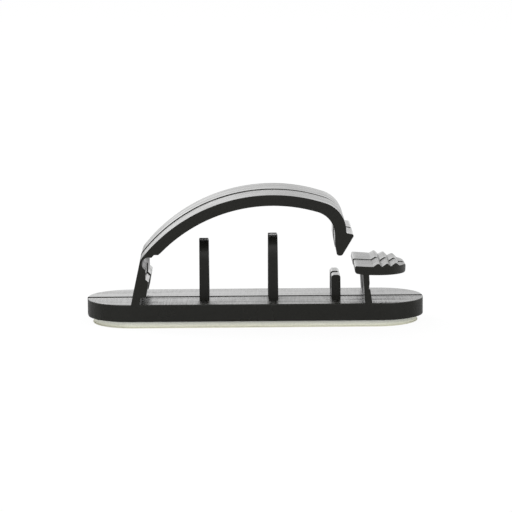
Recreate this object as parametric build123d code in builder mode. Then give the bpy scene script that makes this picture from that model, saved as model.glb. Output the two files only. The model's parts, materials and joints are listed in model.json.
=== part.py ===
"""Self-adhesive cable clip with a hinged strap.

A black clip is moulded open, in one shot: a round-ended base plate carries a leaning
hinge post, three dividers, and a catch post with a ribbed thumb tab. A thin film joins
the top of the hinge post to an arched strap that ends in a snap hook. A foam pad with
a release liner lies under the base plate.

X runs from the hinge to the catch, Y from front to rear and Z up. The origin is on the
surface the clip stands on, below the middle of the base plate.

The moulding parts at the plane Y = 0. Each half of it is drawn once, for the front, and
the rear half is its mirror image, set off a little by the mismatch of the mould.
"""

import os
from math import atan2, cos, radians, sin, sqrt

from build123d import *

# Base plate
base_length = 51.1
base_depth = 13.5
base_thickness = 2.6
base_edge_radius = 0.15
base_crown_rise = 0.05  # from the long edges up to the parting plane

# Foam pad and release liner under the base plate
foam_thickness = 0.9
foam_end_inset = 0.9
foam_side_inset = 0.35
liner_thickness = 0.1
liner_overhang = 0.12

# Mismatch between the two halves of the mould
mismatch_left = 0.08
mismatch_up = 0.09

# Hinge post, at its front face
post_foot_inset = 6.84  # from the base plate's left end
post_foot_width = 1.28
post_undercut_height = 1.17  # of the slot beside the foot, open from front to rear
post_lean = 12.4
post_waist_thickness = 2.04
post_shoulder_height = 3.45
post_shoulder_thickness = 1.93
post_shoulder_slope = 0.42
post_bend_height = 5.95
post_rear_growth = 0.2  # the rear half's inner side stands out this much more

# Film hinge: a ring sector about the axis of the relief notch
notch_offset = 2.74  # of the notch's axis, from the post's left foot
notch_height = 6.2  # of the notch's axis, above the base plate
notch_radius = 1.0
film_thickness = 0.36
film_start_angle = 145.0
film_end_angle = 175.0
notch_post_angle = 241.0
notch_strap_angle = 76.0

# Strap: an arch, a round corner and a short leg
arch_crown_share = 0.6063  # of the way from the hinge post to the catch post
arch_height_share = 0.4229  # the inner crown's height above the base plate, of the same way
strap_thickness = 1.63
strap_inner_radius = 3.6
strap_outer_radius = 4.5
leg_catch_offset = 2.92  # from the leg's inner face to the end of the catch's lip
leg_thickness = 1.7
strap_lip_foot = 0.22
strap_lip_rise = 0.4
strap_lip_length = 1.22
strap_shoulder_rise = 0.33
strap_heel_reach = 1.88  # how far the arch runs on outside, past its shoulder

# Snap hook at the foot of the leg
hook_barb_start = 0.26  # from the round corner's end down to the barb's root
hook_root_radius = 0.24
hook_barb_drop = 0.22
hook_barb_reach = 1.26
hook_tip_radius = 0.3
hook_length = 3.4
hook_lead_angle = 31.0
hook_nose_width = 0.76
hook_nose_radius = 0.42
hook_inner_taper_start = 1.62

# Dividers between the cable lanes, placed as shares of the way between the two posts
divider_depth = 6.3
divider_draft = 0.3
left_divider_share = 0.3126
left_divider_height = 9.0
left_divider_thickness = 1.4
right_divider_share = 0.6098
right_divider_height = 9.73
right_divider_thickness = 1.37
divider_tip_radius = 0.2
short_divider_share = 0.8792
short_divider_height = 3.77
short_divider_thickness = 1.36
short_divider_corner_radius = 0.42

# Catch post, at its front face
catch_foot_inset = 9.1  # from the base plate's right end
catch_foot_width = 1.1
catch_lean = 4.1
catch_step_height = 2.07
catch_step_width = 0.94
catch_neck_width = 0.91
catch_groove_depth = 0.17
catch_groove_height = 0.76

# Thumb tab on the catch post
tab_underside_height = 4.33  # at the post's left side
tab_droop = 3.6  # towards its tip
tab_thickness = 1.26
tab_lip_reach = 1.56  # past the post's left foot
tab_tip_inset = 2.71  # from the base plate's right end
tab_lip_rise = 0.14
tab_lip_radius = 0.5
tab_lip_top_radius = 0.22
tab_tip_radius = 0.45
tab_tip_low_radius = 0.3
rib_count = 3
rib_pitch = 1.365
rib_height = 0.54  # to the sharp crest, before it is rounded
rib_start_offset = 2.72  # from the end of the lip
rib_crest_radius = 0.34

os.makedirs("parts", exist_ok=True)

half_depth = base_depth / 2
base_bottom = liner_thickness + foam_thickness
base_top = base_bottom + base_thickness
root_depth = base_thickness / 2  # how far a wall's root is drawn into the base plate

post_foot_left = -base_length / 2 + post_foot_inset
catch_foot_left = base_length / 2 - catch_foot_inset
lane_span = catch_foot_left - post_foot_left
left_divider_x = post_foot_left + left_divider_share * lane_span
right_divider_x = post_foot_left + right_divider_share * lane_span
short_divider_x = post_foot_left + short_divider_share * lane_span
notch_x = post_foot_left + notch_offset
arch_crown_x = post_foot_left + arch_crown_share * lane_span
tab_left = catch_foot_left - tab_lip_reach
tab_right = base_length / 2 - tab_tip_inset
leg_inner_x = tab_left - leg_catch_offset
arch_crown_height = arch_height_share * lane_span


def ring_point(radius, angle):
    """Returns the point of the XZ plane at a radius and an angle about the notch's axis."""
    height = base_top + notch_height
    return (notch_x + radius * cos(radians(angle)), height + radius * sin(radians(angle)))


def close_mould(front_half, rear_source):
    """Returns a piece made of its front half and a mirrored rear half, set off by the mismatch."""
    rear_half = mirror(rear_source, about=Plane.XZ, mode=Mode.PRIVATE)
    front = front_half.moved(Location((mismatch_left / 2, 0, 0)))
    rear = rear_half.moved(Location((-mismatch_left / 2, 0, mismatch_up)))
    return front + rear


film_outer_radius = notch_radius + film_thickness
film_angle_middle = (film_start_angle + film_end_angle) / 2

# Base plate, front half, with its shallow roof up to the parting plane
with BuildPart() as plate_half:
    with BuildSketch(Plane.YZ.offset(-base_length / 2)):
        with BuildLine():
            Polyline(
                (0, base_bottom - mismatch_up),
                (-half_depth, base_bottom - mismatch_up),
                (-half_depth, base_top),
                (0, base_top + base_crown_rise),
                close=True,
            )
        make_face()
    extrude(amount=base_length)
    with BuildSketch(Plane.XY):
        SlotOverall(base_length, base_depth)
    extrude(amount=base_top + base_thickness, mode=Mode.INTERSECT)
    top_face = plate_half.faces().sort_by(Axis.Z)[-1]
    rim = top_face.edges().filter_by(lambda edge: edge.center().Y < -mismatch_up)
    fillet(rim, base_edge_radius)

# Hinge post, one half: it leans towards the strap and ends at the film. Beside its foot a
# slot is left open, and above its shoulder a groove runs up to the relief notch.
lean_slope = sin(radians(post_lean)) / cos(radians(post_lean))


def post_left(height):
    """Returns where the hinge post's left face is at a height above the base plate."""
    return post_foot_left + lean_slope * height


def post_half(growth):
    """Returns the front half of the hinge post, with its inner side set out by a growth."""
    foot_right = post_foot_left + post_foot_width + growth
    slot_top = post_undercut_height
    waist = post_left(slot_top) + post_waist_thickness + growth
    shoulder = post_left(post_shoulder_height) + post_shoulder_thickness + growth
    shoulder_top = post_shoulder_height + post_shoulder_slope
    wall = ring_point(notch_radius, notch_post_angle)[0] + growth
    groove_start = (wall, base_top + shoulder_top)
    notch_end = (wall, base_top + notch_height - sqrt(notch_radius**2 - (wall - notch_x) ** 2))
    notch_middle = (notch_post_angle + film_end_angle) / 2
    with BuildPart() as post:
        with BuildSketch(Plane.XZ):
            with BuildLine():
                Polyline(
                    ring_point(notch_radius, film_end_angle),
                    ring_point(film_outer_radius, film_end_angle),
                    (post_left(post_bend_height), base_top + post_bend_height),
                    (post_left(-root_depth), base_top - root_depth),
                    (foot_right, base_top - root_depth),
                    (foot_right, base_top),
                    (foot_right + lean_slope * slot_top, base_top + slot_top),
                    (waist, base_top + slot_top),
                    (shoulder, base_top + post_shoulder_height),
                    groove_start,
                    notch_end,
                )
                ThreePointArc(
                    notch_end,
                    ring_point(notch_radius, notch_middle),
                    ring_point(notch_radius, film_end_angle),
                )
            make_face()
        extrude(amount=half_depth)
    return post.part


# Film hinge, front half
with BuildPart() as film_half:
    with BuildSketch(Plane.XZ):
        with BuildLine():
            ThreePointArc(
                ring_point(notch_radius, film_start_angle),
                ring_point(notch_radius, film_angle_middle),
                ring_point(notch_radius, film_end_angle),
            )
            Line(
                ring_point(notch_radius, film_end_angle),
                ring_point(film_outer_radius, film_end_angle),
            )
            ThreePointArc(
                ring_point(film_outer_radius, film_end_angle),
                ring_point(film_outer_radius, film_angle_middle),
                ring_point(film_outer_radius, film_start_angle),
            )
            Line(
                ring_point(film_outer_radius, film_start_angle),
                ring_point(notch_radius, film_start_angle),
            )
        make_face()
    extrude(amount=half_depth)

# Strap, front half: the arch is the circle from its shoulder at the hinge to its crown
strap_lip = ring_point(notch_radius, notch_strap_angle)
lip_foot = (strap_lip[0] + strap_lip_foot, strap_lip[1])
lip_corner = (lip_foot[0] + strap_lip_rise * 0.9, strap_lip[1] + strap_lip_rise)
strap_step = (strap_lip[0] + strap_lip_length, lip_corner[1])
strap_shoulder = (strap_step[0] + strap_lip_rise, strap_step[1] + strap_shoulder_rise)
arch_rise = base_top + arch_crown_height - strap_shoulder[1]
arch_half_chord = arch_crown_x - strap_shoulder[0]
arch_inner_radius = (arch_half_chord**2 + arch_rise**2) / (2 * arch_rise)
arch_outer_radius = arch_inner_radius + strap_thickness
arch_centre_z = base_top + arch_crown_height - arch_inner_radius
heel = ring_point(film_outer_radius, film_start_angle)
shoulder_angle = atan2(strap_shoulder[1] - arch_centre_z, -arch_half_chord)
heel_angle = shoulder_angle + strap_heel_reach / arch_outer_radius
outer_start = (
    arch_crown_x + arch_outer_radius * cos(heel_angle),
    arch_centre_z + arch_outer_radius * sin(heel_angle),
)
leg_outer_x = leg_inner_x + leg_thickness
inner_span = leg_inner_x - arch_crown_x
outer_span = leg_outer_x - arch_crown_x
inner_corner = (leg_inner_x, arch_centre_z + sqrt(arch_inner_radius**2 - inner_span**2))
outer_corner = (leg_outer_x, arch_centre_z + sqrt(arch_outer_radius**2 - outer_span**2))
corner_centre_x = outer_span - strap_outer_radius
corner_centre_rise = sqrt((arch_outer_radius - strap_outer_radius) ** 2 - corner_centre_x**2)
corner_end_z = arch_centre_z + corner_centre_rise
barb_root = (leg_outer_x, corner_end_z - hook_barb_start)
barb_tip = (leg_outer_x + hook_barb_reach, barb_root[1] - hook_barb_drop)
nose_z = barb_root[1] - hook_length
lead_slope = sin(radians(hook_lead_angle)) / cos(radians(hook_lead_angle))
nose_right = (barb_tip[0] - lead_slope * (barb_tip[1] - nose_z), nose_z)
nose_left = (nose_right[0] - hook_nose_width, nose_z)
taper_start = (leg_inner_x, barb_root[1] - hook_inner_taper_start)
with BuildPart() as strap_half:
    with BuildSketch(Plane.XZ) as strap_outline:
        with BuildLine():
            Line(heel, outer_start)
            ThreePointArc(outer_start, (arch_crown_x, arch_centre_z + arch_outer_radius), outer_corner)
            Polyline(outer_corner, barb_root, barb_tip, nose_right, nose_left, taper_start, inner_corner)
            ThreePointArc(inner_corner, (arch_crown_x, arch_centre_z + arch_inner_radius), strap_shoulder)
            Polyline(strap_shoulder, strap_step, lip_corner, lip_foot, strap_lip)
            ThreePointArc(
                strap_lip,
                ring_point(notch_radius, (notch_strap_angle + film_start_angle) / 2),
                ring_point(notch_radius, film_start_angle),
            )
            Line(ring_point(notch_radius, film_start_angle), heel)
        make_face()

        def corner_at(point):
            """Returns the vertex of the strap's outline nearest to a point."""
            return strap_outline.vertices().sort_by_distance(Vector(point[0], point[1]))[0]

        fillet(corner_at(outer_corner), strap_outer_radius)
        fillet(corner_at(inner_corner), strap_inner_radius)
        fillet(corner_at(barb_root), hook_root_radius)
        fillet(corner_at(barb_tip), hook_tip_radius)
        fillet(corner_at(nose_left), hook_nose_radius)
        fillet(corner_at(nose_right), hook_nose_radius)
    extrude(amount=half_depth)

# Dividers, front halves: two tongues with a round top, and a short square one
divider_half_depth = divider_depth / 2
draft_slope = sin(radians(divider_draft)) / cos(radians(divider_draft))


def divider_half(x, height, thickness, corner_radius):
    """Returns the front half of a divider plate, with a slight draft and rounded top corners."""
    half_top = thickness / 2
    half_foot = half_top + draft_slope * (height + root_depth)
    with BuildPart() as plate:
        with BuildSketch(Plane.XZ) as outline:
            with BuildLine():
                Polyline(
                    (x - half_top, base_top + height),
                    (x + half_top, base_top + height),
                    (x + half_foot, base_top - root_depth),
                    (x - half_foot, base_top - root_depth),
                    close=True,
                )
            make_face()
            fillet(outline.vertices().group_by(Axis.Y)[-1], corner_radius)
        extrude(amount=divider_half_depth)
    return plate.part


def tongue_half(x, height, thickness):
    """Returns the front half of a tall divider, whose top is fully rounded from front to rear."""
    crown = base_top + height
    shoulder = crown - divider_half_depth
    middle = divider_half_depth * cos(radians(45))
    with BuildPart() as tongue:
        add(divider_half(x, height, thickness, divider_tip_radius))
        with BuildSketch(Plane.YZ.offset(x - thickness)):
            with BuildLine():
                Polyline(
                    (0, crown),
                    (0, base_top - root_depth),
                    (-divider_half_depth, base_top - root_depth),
                    (-divider_half_depth, shoulder),
                )
                ThreePointArc((-divider_half_depth, shoulder), (-middle, shoulder + middle), (0, crown))
            make_face()
        extrude(amount=2 * thickness, mode=Mode.INTERSECT)
    return tongue.part


# Catch post, front half: it leans towards the hook and steps in above its foot
catch_slope = sin(radians(catch_lean)) / cos(radians(catch_lean))
groove_low = catch_step_height + catch_groove_depth
groove_high = groove_low + catch_groove_height


def catch_left(height):
    """Returns where the catch post's left face is at a height above the base plate."""
    return catch_foot_left - catch_slope * height


with BuildPart() as catch_half:
    with BuildSketch(Plane.XZ):
        with BuildLine():
            Polyline(
                (catch_left(-root_depth), base_top - root_depth),
                (catch_foot_left + catch_foot_width, base_top - root_depth),
                (catch_foot_left + catch_foot_width, base_top),
                (catch_left(catch_step_height) + catch_step_width, base_top + catch_step_height),
                (catch_left(groove_low) + catch_neck_width - catch_groove_depth, base_top + groove_low),
                (catch_left(groove_high) + catch_neck_width, base_top + groove_high),
                (
                    catch_left(tab_underside_height) + catch_neck_width,
                    base_top + tab_underside_height + tab_thickness / 2,
                ),
                (catch_left(tab_underside_height), base_top + tab_underside_height + tab_thickness / 2),
                close=True,
            )
        make_face()
    extrude(amount=half_depth)

# Thumb tab, front half: a ribbed plate that droops towards its tip, with a rounded lip at the
# left and a half round end in plan
droop_cos = cos(radians(tab_droop))
droop_sin = sin(radians(tab_droop))
tab_root_x = catch_left(tab_underside_height)
tab_root_z = base_top + tab_underside_height


def tab_point(along, up):
    """Returns the point of the XZ plane along the drooping tab and up from its underside."""
    x = tab_root_x + along * droop_cos + up * droop_sin
    return (x, tab_root_z - along * droop_sin + up * droop_cos)


lip_along = tab_left - tab_root_x
tip_along = tab_right - tab_root_x
rib_start = lip_along + rib_start_offset
lip_low = tab_point(lip_along, tab_lip_rise)
lip_high = tab_point(lip_along, tab_thickness)
tip_high = tab_point(tip_along, tab_thickness)
tip_low = tab_point(tip_along, 0)
rib_crests = [
    tab_point(rib_start + rib_pitch * (number + 0.55), tab_thickness + rib_height)
    for number in range(rib_count)
]
rib_valleys = [tab_point(rib_start + rib_pitch * (number + 1), tab_thickness) for number in range(rib_count)]
rib_points = [point for pair in zip(rib_crests, rib_valleys) for point in pair]
with BuildPart() as tab_half:
    with BuildSketch(Plane.XZ) as tab_outline:
        with BuildLine():
            Polyline(
                lip_low,
                lip_high,
                tab_point(rib_start, tab_thickness),
                *rib_points,
                tip_high,
                tip_low,
                tab_point(0, 0),
                close=True,
            )
        make_face()

        def tab_corner(point):
            """Returns the vertex of the tab's outline nearest to a point."""
            return tab_outline.vertices().sort_by_distance(Vector(point[0], point[1]))[0]

        fillet(tab_corner(lip_low), tab_lip_radius)
        fillet(tab_corner(lip_high), tab_lip_top_radius)
        fillet(tab_corner(tip_high), tab_tip_radius)
        fillet(tab_corner(tip_low), tab_tip_low_radius)
        for crest in rib_crests:
            fillet(tab_corner(crest), rib_crest_radius)
    extrude(amount=half_depth)
    with BuildSketch(Plane.XY.offset(base_top)):
        with Locations((tab_right + tab_thickness * droop_sin - half_depth, 0)):
            Circle(half_depth)
            Rectangle(base_depth, base_depth, align=(Align.MAX, Align.CENTER))
    extrude(amount=2 * tab_underside_height, mode=Mode.INTERSECT)

# Clip base: both halves joined, then cut flat where the foam sticks


def base_half(growth):
    """Returns one half of the clip base, with the hinge post's inner side set out by a growth."""
    with BuildPart() as half:
        add(plate_half.part)
        add(post_half(growth))
        add(tongue_half(left_divider_x, left_divider_height, left_divider_thickness))
        add(tongue_half(right_divider_x, right_divider_height, right_divider_thickness))
        add(
            divider_half(
                short_divider_x,
                short_divider_height,
                short_divider_thickness,
                short_divider_corner_radius,
            )
        )
        add(catch_half.part)
        add(tab_half.part)
    return half.part


with BuildPart() as clip_base:
    add(close_mould(base_half(0), base_half(post_rear_growth)))
    with BuildSketch(Plane.XY.offset(base_bottom)):
        Rectangle(2 * base_length, 2 * base_depth)
    extrude(amount=-base_thickness, mode=Mode.SUBTRACT)
clip_base.part.label = "clip_base"
export_step(clip_base.part, "parts/clip_base.step")

# Hinge film
with BuildPart() as hinge_film:
    add(close_mould(film_half.part, film_half.part))
hinge_film.part.label = "hinge_film"
export_step(hinge_film.part, "parts/hinge_film.step")

# Strap with the snap hook
with BuildPart() as strap:
    add(close_mould(strap_half.part, strap_half.part))
strap.part.label = "strap"
export_step(strap.part, "parts/strap.step")

# Foam pad, stuck to the underside of the base plate
foam_length = base_length - 2 * foam_end_inset
foam_depth = base_depth - 2 * foam_side_inset
with BuildPart() as foam_pad:
    with BuildSketch(Plane.XY.offset(liner_thickness)):
        SlotOverall(foam_length, foam_depth)
    extrude(amount=foam_thickness)
foam_pad.part.label = "foam_pad"
export_step(foam_pad.part, "parts/foam_pad.step")

# Release liner on the foam's lower face
with BuildPart() as release_liner:
    with BuildSketch(Plane.XY):
        SlotOverall(foam_length + 2 * liner_overhang, foam_depth + 2 * liner_overhang)
    extrude(amount=liner_thickness)
release_liner.part.label = "release_liner"
export_step(release_liner.part, "parts/release_liner.step")
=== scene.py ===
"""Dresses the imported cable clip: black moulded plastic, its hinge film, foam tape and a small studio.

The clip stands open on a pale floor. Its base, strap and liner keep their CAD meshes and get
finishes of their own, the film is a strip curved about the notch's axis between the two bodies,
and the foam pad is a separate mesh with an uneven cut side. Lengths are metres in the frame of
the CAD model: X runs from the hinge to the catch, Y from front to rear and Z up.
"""

import json
import logging
import math
from dataclasses import dataclass, field
from enum import Enum

import bmesh
import bpy
from mathutils import Matrix, Vector

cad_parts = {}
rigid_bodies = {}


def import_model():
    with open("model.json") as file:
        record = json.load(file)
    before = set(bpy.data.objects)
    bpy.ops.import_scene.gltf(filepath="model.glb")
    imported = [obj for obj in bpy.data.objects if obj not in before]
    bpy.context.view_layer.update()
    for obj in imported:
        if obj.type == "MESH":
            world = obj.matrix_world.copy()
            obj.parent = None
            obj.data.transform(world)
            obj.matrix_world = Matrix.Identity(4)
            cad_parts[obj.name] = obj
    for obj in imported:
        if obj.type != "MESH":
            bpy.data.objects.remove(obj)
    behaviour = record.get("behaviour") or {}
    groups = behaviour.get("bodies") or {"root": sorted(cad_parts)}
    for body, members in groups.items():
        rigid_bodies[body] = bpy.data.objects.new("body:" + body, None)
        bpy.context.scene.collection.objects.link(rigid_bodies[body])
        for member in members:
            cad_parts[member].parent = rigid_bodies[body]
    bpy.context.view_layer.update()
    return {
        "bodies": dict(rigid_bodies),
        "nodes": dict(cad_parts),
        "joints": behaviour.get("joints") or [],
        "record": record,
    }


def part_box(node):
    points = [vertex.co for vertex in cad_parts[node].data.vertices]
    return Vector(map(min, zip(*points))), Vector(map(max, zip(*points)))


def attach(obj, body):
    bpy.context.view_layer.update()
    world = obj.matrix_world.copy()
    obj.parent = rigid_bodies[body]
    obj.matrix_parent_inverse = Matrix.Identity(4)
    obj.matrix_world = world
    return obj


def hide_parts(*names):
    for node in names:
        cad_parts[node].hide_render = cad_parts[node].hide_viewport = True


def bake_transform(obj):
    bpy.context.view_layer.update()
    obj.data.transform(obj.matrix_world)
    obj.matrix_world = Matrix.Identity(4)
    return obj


log = logging.getLogger("cable_clip")

MM = 0.001

Colour = tuple[float, float, float]
Feed = bpy.types.NodeSocket | float | tuple


class Body(str, Enum):
    """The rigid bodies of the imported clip."""

    BASE = "base"
    STRAP = "strap"


class Slot(str, Enum):
    """Names for material slots of the new pieces, which nothing here gives them."""

    PLASTIC = "black_plastic"
    FOAM = "foam_tape"


class Half(Enum):
    """The two halves of the mould, by the sign of Y on their side of the parting line."""

    FRONT = -1
    REAR = 1


@dataclass(frozen=True)
class Ramp:
    """A clamped ramp that runs from start to end while its input goes from low to high."""

    low: float
    high: float
    start: float = 0.0
    end: float = 1.0


@dataclass(frozen=True)
class Streaks:
    """The size of a stretched noise along each axis."""

    x: float
    y: float
    z: float


class NodeSheet:
    """Adds nodes to one node tree and joins their sockets."""

    def __init__(self, tree: bpy.types.NodeTree) -> None:
        """Starts on a tree.

        Args:
            tree: The node tree that gets the nodes.
        """
        self.tree = tree

    def add(self, kind: str, settings: dict | None = None, **inputs: Feed) -> bpy.types.Node:
        """Adds a node, sets its properties and fills or links its inputs.

        Args:
            kind: Blender's name for the node type.
            settings: Property values of the node.
            **inputs: Values or output sockets by input name, with _ for a space.

        Returns:
            The new node.
        """
        node = self.tree.nodes.new(kind)
        for name, value in (settings or {}).items():
            setattr(node, name, value)
        for name, value in inputs.items():
            self.feed(node.inputs[name.replace("_", " ")], value)
        return node

    def feed(self, socket: bpy.types.NodeSocket, value: Feed) -> None:
        """Links an output to a socket, or sets the socket's own value.

        Args:
            socket: The input socket.
            value: An output socket, or a constant.
        """
        if isinstance(value, bpy.types.NodeSocket):
            self.tree.links.new(value, socket)
        else:
            socket.default_value = value

    def maths(self, operation: str, *values: Feed) -> bpy.types.NodeSocket:
        """Adds a Math node.

        Args:
            operation: Blender's name for the operation.
            *values: Its values or sockets, in order.

        Returns:
            The node's result socket.
        """
        node = self.tree.nodes.new("ShaderNodeMath")
        node.operation = operation
        for socket, value in zip(node.inputs, values):
            self.feed(socket, value)
        return node.outputs[0]

    def product(self, *values: Feed) -> bpy.types.NodeSocket:
        """Multiplies two or more values or sockets.

        Args:
            *values: The factors.

        Returns:
            The socket of the whole product.
        """
        result = values[0]
        for value in values[1:]:
            result = self.maths("MULTIPLY", result, value)
        return result

    def ramp(self, value: Feed, ramp: Ramp) -> bpy.types.NodeSocket:
        """Adds a clamped Map Range node.

        Args:
            value: The input value or socket.
            ramp: The ramp to follow.

        Returns:
            The node's result socket.
        """
        node = self.tree.nodes.new("ShaderNodeMapRange")
        for socket, number in zip(node.inputs, (value, ramp.low, ramp.high, ramp.start, ramp.end)):
            self.feed(socket, number)
        return node.outputs["Result"]

    def blend_colour(self, factor: Feed, first: Feed, second: Feed) -> bpy.types.NodeSocket:
        """Adds a colour Mix node.

        Args:
            factor: Share of the second colour.
            first: First colour or socket.
            second: Second colour or socket.

        Returns:
            The node's colour socket.
        """
        node = self.tree.nodes.new("ShaderNodeMix")
        node.data_type = "RGBA"
        colour_inputs = [socket for socket in node.inputs if socket.type == "RGBA"]
        self.feed(node.inputs[0], factor)
        self.feed(colour_inputs[0], first)
        self.feed(colour_inputs[1], second)
        return next(socket for socket in node.outputs if socket.type == "RGBA")

    def mix_shaders(self, factor: Feed, first: Feed, second: Feed) -> bpy.types.NodeSocket:
        """Adds a Mix Shader node.

        Args:
            factor: Share of the second shader.
            first: Output of the first shader.
            second: Output of the second shader.

        Returns:
            The node's shader socket.
        """
        node = self.tree.nodes.new("ShaderNodeMixShader")
        for socket, value in zip(node.inputs, (factor, first, second)):
            self.feed(socket, value)
        return node.outputs["Shader"]


def solid(colour: Colour) -> tuple[float, float, float, float]:
    """Adds full alpha to a colour.

    Args:
        colour: Red, green and blue.

    Returns:
        The colour with an alpha of 1.
    """
    return (*colour, 1.0)


def start_material(name: str) -> tuple[bpy.types.Material, NodeSheet, bpy.types.NodeSocket]:
    """Makes an empty node material.

    Args:
        name: Name of the material.

    Returns:
        The material, its node sheet and the socket that takes its surface shader.
    """
    material = bpy.data.materials.new(name)
    material.use_nodes = True
    material.node_tree.nodes.clear()
    sheet = NodeSheet(material.node_tree)
    output = sheet.add("ShaderNodeOutputMaterial")
    return material, sheet, output.inputs["Surface"]


def start_group(name: str, inputs: tuple[str, ...], outputs: tuple[str, ...]) -> tuple[NodeSheet, dict]:
    """Makes a shader node group that reads a position vector and numbers.

    Args:
        name: Name of the group.
        inputs: Names of the number inputs, which every user of the group fills.
        outputs: Names of the number outputs.

    Returns:
        The group's node sheet, and its input sockets by name, with the output sockets as "out".
    """
    group = bpy.data.node_groups.new(name, "ShaderNodeTree")
    group.interface.new_socket("Position", in_out="INPUT", socket_type="NodeSocketVector")
    for label in inputs:
        group.interface.new_socket(label, in_out="INPUT", socket_type="NodeSocketFloat")
    for label in outputs:
        group.interface.new_socket(label, in_out="OUTPUT", socket_type="NodeSocketFloat")
    sheet = NodeSheet(group)
    source = sheet.add("NodeGroupInput")
    sink = sheet.add("NodeGroupOutput")
    sockets = {socket.name: socket for socket in source.outputs if socket.name}
    sockets["out"] = sink.inputs
    return sheet, sockets


def grain_group() -> bpy.types.NodeTree:
    """Builds the fine even grain that moulded, foamed and paper faces share.

    Returns:
        A group from Position, Size and Depth to Mask and Height.
    """
    mean = 0.5
    sheet, sockets = start_group("surface_grain", ("Size", "Depth"), ("Mask", "Height"))
    noise = sheet.add(
        "ShaderNodeTexNoise",
        Vector=sockets["Position"],
        Scale=sheet.maths("DIVIDE", 1.0, sockets["Size"]),
        Detail=3.0,
        Roughness=0.6,
    )
    centred = sheet.maths("SUBTRACT", noise.outputs["Fac"], mean)
    sheet.feed(sockets["out"]["Mask"], noise.outputs["Fac"])
    sheet.feed(sockets["out"]["Height"], sheet.maths("MULTIPLY", centred, sockets["Depth"]))
    return sheet.tree


def streak_group() -> bpy.types.NodeTree:
    """Builds noise that is stretched by a size of its own along each axis.

    Returns:
        A group from Position and the three sizes to Mask.
    """
    sheet, sockets = start_group("stretched_streaks", ("Size X", "Size Y", "Size Z"), ("Mask",))
    scale = sheet.add(
        "ShaderNodeCombineXYZ",
        X=sheet.maths("DIVIDE", 1.0, sockets["Size X"]),
        Y=sheet.maths("DIVIDE", 1.0, sockets["Size Y"]),
        Z=sheet.maths("DIVIDE", 1.0, sockets["Size Z"]),
    )
    place = sheet.add("ShaderNodeVectorMath", {"operation": "MULTIPLY"})
    sheet.feed(place.inputs[0], sockets["Position"])
    sheet.feed(place.inputs[1], scale.outputs["Vector"])
    noise = sheet.add(
        "ShaderNodeTexNoise",
        Vector=place.outputs["Vector"],
        Scale=1.0,
        Detail=2.0,
        Roughness=0.55,
    )
    sheet.feed(sockets["out"]["Mask"], noise.outputs["Fac"])
    return sheet.tree


class SharedPatterns:
    """The node groups that the finishes share."""

    def __init__(self) -> None:
        """Builds each group once."""
        self.grain_tree = grain_group()
        self.streak_tree = streak_group()

    def grain(self, sheet: NodeSheet, place: Feed, size: float, depth: float = 0.0) -> bpy.types.Node:
        """Places the even grain in a material's tree.

        Args:
            sheet: The material's node sheet.
            place: The object coordinates.
            size: Size of the grain.
            depth: Depth of the grain.

        Returns:
            The group node, with outputs Mask and Height.
        """
        node = sheet.add("ShaderNodeGroup", {"node_tree": self.grain_tree})
        for name, value in (("Position", place), ("Size", size), ("Depth", depth)):
            sheet.feed(node.inputs[name], value)
        return node

    def streaks(self, sheet: NodeSheet, place: Feed, sizes: Streaks) -> bpy.types.NodeSocket:
        """Places the stretched noise in a material's tree.

        Args:
            sheet: The material's node sheet.
            place: The object coordinates.
            sizes: Size of the noise along each axis.

        Returns:
            The socket of its mask.
        """
        node = sheet.add("ShaderNodeGroup", {"node_tree": self.streak_tree})
        for name, value in (
            ("Position", place),
            ("Size X", sizes.x),
            ("Size Y", sizes.y),
            ("Size Z", sizes.z),
        ):
            sheet.feed(node.inputs[name], value)
        return node.outputs["Mask"]


@dataclass(frozen=True)
class PolishZone:
    """A box of the mould whose faces are rougher or finer than the rest."""

    from_x: float
    to_x: float
    to_z: float
    change: float
    from_y: float = -8.0 * MM
    to_y: float = 8.0 * MM
    from_z: float = 3.9 * MM
    edge: float = 0.2 * MM

    def mask(self, sheet: NodeSheet, axes: bpy.types.Node) -> bpy.types.NodeSocket:
        """Masks the zone.

        Args:
            sheet: The material's node sheet.
            axes: The node that splits the object coordinates.

        Returns:
            A socket that runs from 0 outside to the zone's change inside.
        """
        limits = (
            ("X", self.from_x, self.to_x),
            ("Y", self.from_y, self.to_y),
            ("Z", self.from_z, self.to_z),
        )
        sides = []
        for axis, low, high in limits:
            sides.append(sheet.ramp(axes.outputs[axis], Ramp(low, low + self.edge)))
            sides.append(sheet.ramp(axes.outputs[axis], Ramp(high - self.edge, high, 1.0, 0.0)))
        return sheet.product(*sides, self.change)


@dataclass(frozen=True)
class Coat:
    """The constants of a finish that go straight to its shader."""

    ior: float
    bump: float

    def apply(
        self,
        sheet: NodeSheet,
        surface: bpy.types.NodeSocket,
        colour: Feed,
        roughness: Feed,
        height: Feed,
    ) -> None:
        """Adds the shader of a finish and joins it to the material's output.

        Args:
            sheet: The material's node sheet.
            surface: The socket that takes the surface shader.
            colour: Base colour.
            roughness: Roughness.
            height: Height of the relief in metres.
        """
        bump = sheet.add("ShaderNodeBump", Height=height, Distance=1.0, Strength=self.bump)
        shader = sheet.add(
            "ShaderNodeBsdfPrincipled",
            Base_Color=colour,
            Roughness=roughness,
            IOR=self.ior,
            Normal=bump.outputs["Normal"],
        )
        sheet.feed(surface, shader.outputs["BSDF"])


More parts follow.
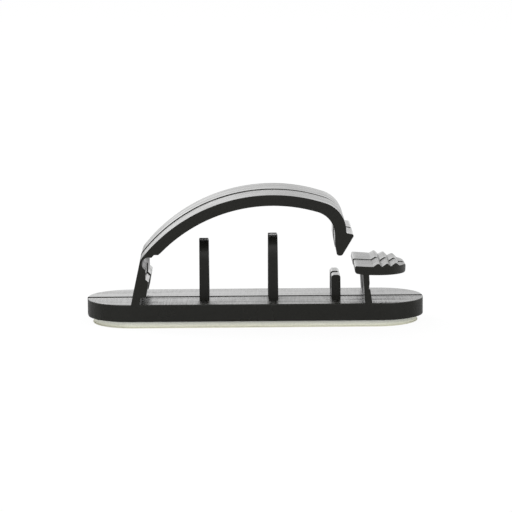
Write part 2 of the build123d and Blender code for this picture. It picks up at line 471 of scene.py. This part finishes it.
@dataclass(frozen=True)
class MouldedPlastic:
    """Black moulded plastic: glossy, with faint lines of flow and draw marks, and polished by zones."""

    name: str = "moulded_black"
    coat: Coat = Coat(ior=1.42, bump=0.2)
    dark: Colour = (0.0118, 0.0118, 0.0100)
    worn: Colour = (0.0165, 0.0165, 0.0140)
    worn_share: Ramp = Ramp(0.3, 0.75)
    grain_size: float = 0.22 * MM
    grain_depth: float = 0.006 * MM
    flow: Streaks = Streaks(18 * MM, 1.3 * MM, 18 * MM)
    flow_weight: float = 0.75
    patch_size: float = 5 * MM
    patch_weight: float = 0.25
    roughness: Ramp = Ramp(0.36, 0.64, 0.15, 0.38)
    draw_marks: Streaks = Streaks(0.3 * MM, 5 * MM, 4 * MM)
    draw_change: Ramp = Ramp(0.3, 0.7, -0.07, 0.07)
    plate_face: Ramp = Ramp(3.3 * MM, 3.4 * MM)
    plate: Ramp = Ramp(3.9 * MM, 4.4 * MM, 1.0, 0.0)
    rear_half: Ramp = Ramp(-0.05 * MM, 0.05 * MM)
    rear_polish: Ramp = Ramp(1.0 * MM, 6.0 * MM, 0.14, 0.04)
    zones: tuple[PolishZone, ...] = (
        # Tall dividers
        PolishZone(from_x=-9.0 * MM, to_x=4.0 * MM, to_z=13.3 * MM, change=0.15),
        # Short divider and the strap's leg
        PolishZone(from_x=11.0 * MM, to_x=15.5 * MM, to_z=16.0 * MM, change=-0.13),
        # Lower part of the hinge post
        PolishZone(from_x=-20.0 * MM, to_x=-14.9 * MM, to_z=8.8 * MM, change=-0.1),
        # Relief notch below the film
        PolishZone(from_x=-17.2 * MM, to_x=-15.0 * MM, from_z=8.7 * MM, to_z=11.2 * MM, change=0.15),
        # Front half of the plate's top face, between the posts
        PolishZone(
            from_x=-18.0 * MM,
            to_x=12.2 * MM,
            to_y=0.0,
            from_z=3.3 * MM,
            to_z=4.1 * MM,
            change=0.055,
        ),
    )

    def polish(
        self,
        patterns: SharedPatterns,
        sheet: NodeSheet,
        place: bpy.types.NodeSocket,
    ) -> bpy.types.NodeSocket:
        """Builds the roughness over the whole moulding.

        Args:
            patterns: The shared node groups.
            sheet: The material's node sheet.
            place: The object coordinates.

        Returns:
            The roughness socket.
        """
        axes = sheet.add("ShaderNodeSeparateXYZ", Vector=place)
        plate = sheet.ramp(axes.outputs["Z"], self.plate)
        face = sheet.product(sheet.ramp(axes.outputs["Z"], self.plate_face), plate)
        lines = sheet.product(patterns.streaks(sheet, place, self.flow), self.flow_weight)
        patches = patterns.grain(sheet, place, self.patch_size)
        spots = sheet.product(patches.outputs["Mask"], self.patch_weight)
        rough = sheet.ramp(sheet.maths("ADD", lines, spots), self.roughness)
        drawn = sheet.ramp(patterns.streaks(sheet, place, self.draw_marks), self.draw_change)
        rough = sheet.maths("ADD", rough, sheet.product(drawn, face))
        for zone in self.zones:
            rough = sheet.maths("ADD", rough, zone.mask(sheet, axes))
        rear = sheet.ramp(axes.outputs["Y"], self.rear_half)
        finer = sheet.product(rear, plate, sheet.ramp(axes.outputs["Y"], self.rear_polish))
        return sheet.maths("SUBTRACT", rough, finer)

    def material(self, patterns: SharedPatterns) -> bpy.types.Material:
        """Builds the material.

        Args:
            patterns: The shared node groups.

        Returns:
            The finished material.
        """
        material, sheet, surface = start_material(self.name)
        place = sheet.add("ShaderNodeTexCoord").outputs["Object"]
        grain = patterns.grain(sheet, place, self.grain_size, self.grain_depth)
        share = sheet.ramp(grain.outputs["Mask"], self.worn_share)
        colour = sheet.blend_colour(share, solid(self.dark), solid(self.worn))
        roughness = self.polish(patterns, sheet, place)
        self.coat.apply(sheet, surface, colour, roughness, grain.outputs["Height"])
        return material


@dataclass(frozen=True)
class FoamTape:
    """Pale closed-cell foam, cut square, with painted shade in the fine cells of its edge, a yellower
    lower rim, and painted shade that darkens it toward the plate above.
    """

    name: str = "foam_cells"
    coat: Coat = Coat(ior=1.4, bump=0.4)
    # Painted shade: the colour near the plate is darker and greyer, for the shade under the plate; the
    # colour near the liner is the yellower tint.
    painted_shade_near_plate: Colour = (0.715, 0.73, 0.685)
    near_liner: Colour = (0.80, 0.80, 0.665)
    shaded: Colour = (0.56, 0.565, 0.49)
    rim: Ramp = Ramp(0.25 * MM, 0.9 * MM)
    cells_per_metre: float = 4200.0
    cell_edge: Ramp = Ramp(0.15, 0.7, 0.0, 0.55)
    cell_depth: float = 0.02 * MM
    grain_size: float = 0.4 * MM
    grain_depth: float = 0.02 * MM
    roughness: float = 0.85

    def material(self, patterns: SharedPatterns) -> bpy.types.Material:
        """Builds the material.

        Args:
            patterns: The shared node groups.

        Returns:
            The finished material.
        """
        material, sheet, surface = start_material(self.name)
        place = sheet.add("ShaderNodeTexCoord").outputs["Object"]
        cells = sheet.add("ShaderNodeTexVoronoi", Vector=place, Scale=self.cells_per_metre)
        edges = sheet.ramp(cells.outputs["Distance"], self.cell_edge)
        grain = patterns.grain(sheet, place, self.grain_size, self.grain_depth)
        # Blends by height from the yellower tint near the liner to the painted shade near the plate.
        rise = sheet.add("ShaderNodeSeparateXYZ", Vector=place).outputs["Z"]
        share = sheet.ramp(rise, self.rim)
        tint_and_plate_shade = sheet.blend_colour(share, solid(self.near_liner), solid(self.painted_shade_near_plate))
        shade = sheet.product(edges, grain.outputs["Mask"])
        colour = sheet.blend_colour(shade, tint_and_plate_shade, solid(self.shaded))
        height = sheet.maths("ADD", grain.outputs["Height"], sheet.product(edges, -self.cell_depth))
        self.coat.apply(sheet, surface, colour, self.roughness, height)
        return material


@dataclass(frozen=True)
class LinerPaper:
    """Cream release paper, faintly glossy."""

    name: str = "waxed_paper"
    coat: Coat = Coat(ior=1.45, bump=0.3)
    cream: Colour = (0.77, 0.76, 0.63)
    fibre: Colour = (0.67, 0.66, 0.54)
    grain_size: float = 0.6 * MM
    grain_depth: float = 0.01 * MM
    roughness: float = 0.45

    def material(self, patterns: SharedPatterns) -> bpy.types.Material:
        """Builds the material.

        Args:
            patterns: The shared node groups.

        Returns:
            The finished material.
        """
        material, sheet, surface = start_material(self.name)
        place = sheet.add("ShaderNodeTexCoord").outputs["Object"]
        grain = patterns.grain(sheet, place, self.grain_size, self.grain_depth)
        colour = sheet.blend_colour(grain.outputs["Mask"], solid(self.cream), solid(self.fibre))
        self.coat.apply(sheet, surface, colour, self.roughness, grain.outputs["Height"])
        return material


def finished_mesh(name: str, form: bmesh.types.BMesh, material: bpy.types.Material) -> bpy.types.Object:
    """Turns a bmesh into a piece that sits at the origin.

    Args:
        name: Name of the piece.
        form: The modelled bmesh, which is freed.
        material: Finish of the piece.

    Returns:
        The new object.
    """
    bmesh.ops.recalc_face_normals(form, faces=form.faces)
    mesh = bpy.data.meshes.new(name)
    form.to_mesh(mesh)
    form.free()
    mesh.materials.append(material)
    piece = bpy.data.objects.new(name, mesh)
    bpy.context.scene.collection.objects.link(piece)
    return piece


def dress(node: bpy.types.Object, material: bpy.types.Material) -> None:
    """Gives a CAD node its finish and leaves its mesh alone.

    Args:
        node: The node's object.
        material: The finish.
    """
    node.data.materials.clear()
    node.data.materials.append(material)
    log.info("dressed %s", node.name)


@dataclass
class BlackMoulding:
    """The base, the strap and the thin film that joins them."""

    finish: MouldedPlastic = field(default_factory=MouldedPlastic)
    notch_axis: tuple[float, float] = (-15.97 * MM, 9.8 * MM)
    notch_radius: float = 1.0 * MM
    film_thickness: float = 0.36 * MM
    film_angles: tuple[float, float] = (145.0, 175.0)
    half_depth: float = 6.75 * MM
    mismatch_left: float = 0.08 * MM
    mismatch_up: float = 0.09 * MM
    film_steps: int = 16

    def build(self, frame: dict, patterns: SharedPatterns) -> None:
        """Dresses the CAD nodes and adds the curved film.

        Args:
            frame: The loaded frame.
            patterns: The shared node groups.
        """
        material = self.finish.material(patterns)
        for name in ("clip_base", "strap"):
            dress(frame["nodes"][name], material)
        self.hinge_film(material)

    def film_half(self, form: bmesh.types.BMesh, half: Half) -> None:
        """Adds one half of the film, as a ring sector swept about the notch's axis.

        Args:
            form: The bmesh that gets the half.
            half: The half of the mould, which the mismatch sets off from the other.
        """
        side = half.value
        lift = self.mismatch_up if half is Half.REAR else 0
        shift = Vector((-side * self.mismatch_left / 2, 0, lift))
        axis_x, axis_z = self.notch_axis
        centre = Vector((axis_x, 0, axis_z)) + shift
        start = math.radians(self.film_angles[0])
        sweep = math.radians(self.film_angles[1] - self.film_angles[0])
        ray = Vector((math.cos(start), 0, math.sin(start)))
        outer_radius = self.notch_radius + self.film_thickness
        corners = [
            centre + ray * radius + Vector((0, depth, 0))
            for radius, depth in (
                (self.notch_radius, 0),
                (outer_radius, 0),
                (outer_radius, side * self.half_depth),
                (self.notch_radius, side * self.half_depth),
            )
        ]
        section = form.faces.new([form.verts.new(corner) for corner in corners])
        bmesh.ops.spin(
            form,
            geom=[section, *section.edges, *section.verts],
            cent=centre,
            axis=(0, -1, 0),
            angle=sweep,
            steps=self.film_steps,
            use_merge=False,
        )

    def hinge_film(self, material: bpy.types.Material) -> None:
        """Builds the film as a curved strip between the base and the strap, and hides the CAD film.

        Args:
            material: The moulded finish.
        """
        form = bmesh.new()
        for half in Half:
            self.film_half(form, half)
        film = finished_mesh("film_strip", form, material)
        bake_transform(film)
        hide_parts("hinge_film")
        log.info("built %s", film.name)


@dataclass
class AdhesivePad:
    """The foam tape under the base, and the release paper on it."""

    foam: FoamTape = field(default_factory=FoamTape)
    paper: LinerPaper = field(default_factory=LinerPaper)
    end_steps: int = 48
    run_steps: int = 60
    layers: int = 6
    waist: float = 0.03 * MM
    ripple: float = 0.02 * MM
    ripple_radians_per_metre: tuple[float, float, float] = (900.0, 700.0, 3000.0)
    most_pull: float = 0.1
    flat_face: float = 0.5
    on_middle: float = 0.0001 * MM

    def build(self, frame: dict, patterns: SharedPatterns) -> None:
        """Builds the foam piece and dresses the liner.

        Args:
            frame: The loaded frame.
            patterns: The shared node groups.
        """
        dress(frame["nodes"]["release_liner"], self.paper.material(patterns))
        low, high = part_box("foam_pad")
        foam = finished_mesh("foam_block", self.foam_form(low, high), self.foam.material(patterns))
        for face in foam.data.polygons:
            face.use_smooth = abs(face.normal.z) < self.flat_face
        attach(foam, Body.BASE.value)
        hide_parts("foam_pad")
        log.info("built %s", foam.name)

    def foam_form(self, low: Vector, high: Vector) -> bmesh.types.BMesh:
        """Models the foam: a round-ended block whose cut side is a little uneven.

        Args:
            low: Lowest corner of the CAD pad.
            high: Highest corner of the CAD pad.

        Returns:
            The modelled bmesh.
        """
        form = bmesh.new()
        half_depth = (high.y - low.y) / 2
        straight = (high.x - low.x) / 2 - half_depth
        bmesh.ops.create_circle(form, cap_ends=True, radius=half_depth, segments=4 * self.end_steps)
        for vertex in form.verts:
            vertex.co.z = low.z
        right = [vertex for vertex in form.verts if vertex.co.x > self.on_middle]
        left = [vertex for vertex in form.verts if vertex.co.x < -self.on_middle]
        bmesh.ops.translate(form, verts=right, vec=(straight, 0, 0))
        bmesh.ops.translate(form, verts=left, vec=(-straight, 0, 0))
        long_edges = [edge for edge in form.edges if edge.calc_length() > straight / 2]
        bmesh.ops.subdivide_edges(form, edges=long_edges, cuts=self.run_steps)
        floor_face = list(form.faces)
        rise = (high.z - low.z) / self.layers
        top = floor_face
        for _ in range(self.layers):
            grown = bmesh.ops.extrude_face_region(form, geom=top, use_keep_orig=True)
            raised = [item for item in grown["geom"] if isinstance(item, bmesh.types.BMVert)]
            bmesh.ops.translate(form, verts=raised, vec=(0, 0, rise))
            if top is not floor_face:
                bmesh.ops.delete(form, geom=top, context="FACES_ONLY")
            top = [item for item in grown["geom"] if isinstance(item, bmesh.types.BMFace)]
        self.uneven(form, low.z, high.z)
        return form

    def uneven(self, form: bmesh.types.BMesh, bottom: float, top: float) -> None:
        """Draws the cut side of the foam in at mid height, and ripples it.

        Args:
            form: The foam's bmesh.
            bottom: Height of its lower face.
            top: Height of its upper face.
        """
        middle = (bottom + top) / 2
        along, across, upward = self.ripple_radians_per_metre
        for vertex in form.verts:
            share = 1 - abs(vertex.co.z - middle) / (middle - bottom)
            phase = vertex.co.x * along + vertex.co.y * across + vertex.co.z * upward
            wave = (1 + math.sin(phase)) / 2
            pull = self.waist * share + self.ripple * wave
            outward = Vector((0, math.copysign(1.0, vertex.co.y), 0))
            vertex.co -= outward * min(pull, abs(vertex.co.y) * self.most_pull)


@dataclass(frozen=True)
class SoftLamp:
    """A round area lamp that points at the clip."""

    name: str
    place: tuple[float, float, float]
    size: float
    power: float

    def hang(self) -> None:
        """Adds the lamp to the scene."""
        data = bpy.data.lights.new(self.name, "AREA")
        data.shape = "DISK"
        data.size = self.size
        data.energy = self.power
        lamp = bpy.data.objects.new(self.name, data)
        lamp.location = self.place
        lamp.rotation_euler = (-Vector(self.place)).to_track_quat("-Z", "Y").to_euler()
        bpy.context.scene.collection.objects.link(lamp)


@dataclass
class Studio:
    """Floor, surroundings, lamps and camera."""

    target: tuple[float, float, float] = (0.174 * MM, 0.0, 9.85 * MM)
    distance: float = 380.9 * MM
    pitch: float = 9.03
    roll: float = -0.461
    image_pixels: int = 512
    focal_pixels: float = 2500.0
    sensor_width: float = 36.0
    clip_near: float = 0.01
    clip_far: float = 50.0
    front_to_rear: Ramp = Ramp(-0.2, 0.7, 0.25, 1.4)
    soft_box: Ramp = Ramp(0.3, 0.55, 1.0, 2.8)
    zenith: Ramp = Ramp(0.8, 0.98, 1.0, 0.8)
    left_side: Ramp = Ramp(-0.4, -0.1, 1.3, 1.0)
    right_side: Ramp = Ramp(0.1, 0.35, 1.0, 1.64)
    left_to_right: Ramp = Ramp(-0.1, 0.1, 1.17, 0.83)
    panel_rise: Ramp = Ramp(0.075, 0.11, 0.0, 0.3)
    panel_fall: Ramp = Ramp(0.13, 0.16, 1.0, 0.0)
    ambient: float = 0.95
    white: Colour = (1.0, 1.0, 1.0)
    floor_size: float = 6.0
    floor_grey: Colour = (0.8, 0.8, 0.8)
    floor_glow: float = 0.94
    # Painted glow of the floor as seen in reflections, from its front to its rear.
    floor_sheen: Ramp = Ramp(20 * MM, 130 * MM, 0.29, 1.12)
    lamps: tuple[SoftLamp, ...] = (
        SoftLamp(name="key_lamp", place=(-0.5, 0.35, 0.7), size=0.5, power=5.0),
        SoftLamp(name="fill_lamp", place=(0.4, -0.5, 0.6), size=0.6, power=2.0),
    )

    def build(self) -> None:
        """Sets up the whole studio."""
        self.camera()
        self.world()
        self.floor()
        for lamp in self.lamps:
            lamp.hang()
        bpy.context.scene.view_settings.view_transform = "Standard"

    def camera(self) -> None:
        """Places the camera at the photograph's angle, with its slight roll."""
        pitch = math.radians(self.pitch)
        roll = math.radians(self.roll)
        forward = Vector((0, math.cos(pitch), -math.sin(pitch)))
        level = Vector((1, 0, 0))
        upright = level.cross(forward)
        right = level * math.cos(roll) + upright * math.sin(roll)
        up = upright * math.cos(roll) - level * math.sin(roll)
        place = Vector(self.target) - forward * self.distance
        data = bpy.data.cameras.new("camera")
        data.sensor_width = self.sensor_width
        data.lens = self.sensor_width * self.focal_pixels / self.image_pixels
        data.clip_start = self.clip_near
        data.clip_end = self.clip_far
        camera = bpy.data.objects.new("camera", data)
        turn = Matrix((right, up, -forward)).transposed().to_4x4()
        camera.matrix_world = Matrix.Translation(place) @ turn
        bpy.context.scene.collection.objects.link(camera)
        bpy.context.scene.camera = camera

    def world(self) -> None:
        """Makes the surroundings: white to the eye, and paler behind than in front."""
        world = bpy.data.worlds.new("studio")
        world.use_nodes = True
        world.node_tree.nodes.clear()
        sheet = NodeSheet(world.node_tree)
        ray = sheet.add("ShaderNodeLightPath")
        direction = sheet.add("ShaderNodeTexCoord").outputs["Generated"]
        way = sheet.add("ShaderNodeSeparateXYZ", Vector=direction)
        panel = sheet.maths(
            "MULTIPLY_ADD",
            sheet.ramp(way.outputs["X"], self.panel_rise),
            sheet.ramp(way.outputs["X"], self.panel_fall),
            1.0,
        )
        seen_in_gloss = sheet.product(
            sheet.ramp(way.outputs["Y"], self.front_to_rear),
            sheet.ramp(way.outputs["Z"], self.soft_box),
            sheet.ramp(way.outputs["Z"], self.zenith),
            sheet.ramp(way.outputs["X"], self.left_side),
            sheet.ramp(way.outputs["X"], self.right_side),
            sheet.ramp(way.outputs["X"], self.left_to_right),
            panel,
        )
        gloss = sheet.maths("MAXIMUM", ray.outputs["Is Glossy Ray"], ray.outputs["Is Transmission Ray"])
        diffuse = sheet.product(ray.outputs["Is Diffuse Ray"], self.ambient)
        level = sheet.maths("MULTIPLY_ADD", gloss, seen_in_gloss, diffuse)
        total = sheet.maths("ADD", level, ray.outputs["Is Camera Ray"])
        background = sheet.add("ShaderNodeBackground", Color=solid(self.white), Strength=total)
        output = sheet.add("ShaderNodeOutputWorld")
        sheet.feed(output.inputs["Surface"], background.outputs["Background"])
        bpy.context.scene.world = world

    def floor(self) -> None:
        """Lays the pale floor, which keeps a soft shadow under the clip and glows as a painted
        reflection in glossy rays, dimmer in front than behind.
        """
        material, sheet, surface = start_material("pale_floor")
        ray = sheet.add("ShaderNodeLightPath")
        place = sheet.add("ShaderNodeTexCoord").outputs["Object"]
        axes = sheet.add("ShaderNodeSeparateXYZ", Vector=place)
        in_gloss = sheet.ramp(axes.outputs["Y"], self.floor_sheen)
        matt = sheet.add("ShaderNodeBsdfDiffuse", Color=solid(self.floor_grey))
        glow = sheet.add("ShaderNodeEmission", Color=solid(self.white), Strength=1.0)
        # Painted reflection: the floor glows in glossy rays, graded from front to rear.
        sheen = sheet.add("ShaderNodeEmission", Color=solid(self.white), Strength=in_gloss)
        seen = sheet.product(ray.outputs["Is Camera Ray"], self.floor_glow)
        lit = sheet.mix_shaders(seen, matt.outputs["BSDF"], glow.outputs["Emission"])
        mixed = sheet.mix_shaders(ray.outputs["Is Glossy Ray"], lit, sheen.outputs["Emission"])
        sheet.feed(surface, mixed)
        form = bmesh.new()
        bmesh.ops.create_grid(form, x_segments=2, y_segments=2, size=self.floor_size / 2)
        floor = finished_mesh("floor", form, material)


def main() -> None:
    """Builds the clip's looks around the frame."""
    logging.basicConfig(level=logging.INFO, format="%(name)s: %(message)s")
    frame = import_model()
    patterns = SharedPatterns()
    BlackMoulding().build(frame, patterns)
    AdhesivePad().build(frame, patterns)
    Studio().build()


if __name__ == "__main__":
    main()
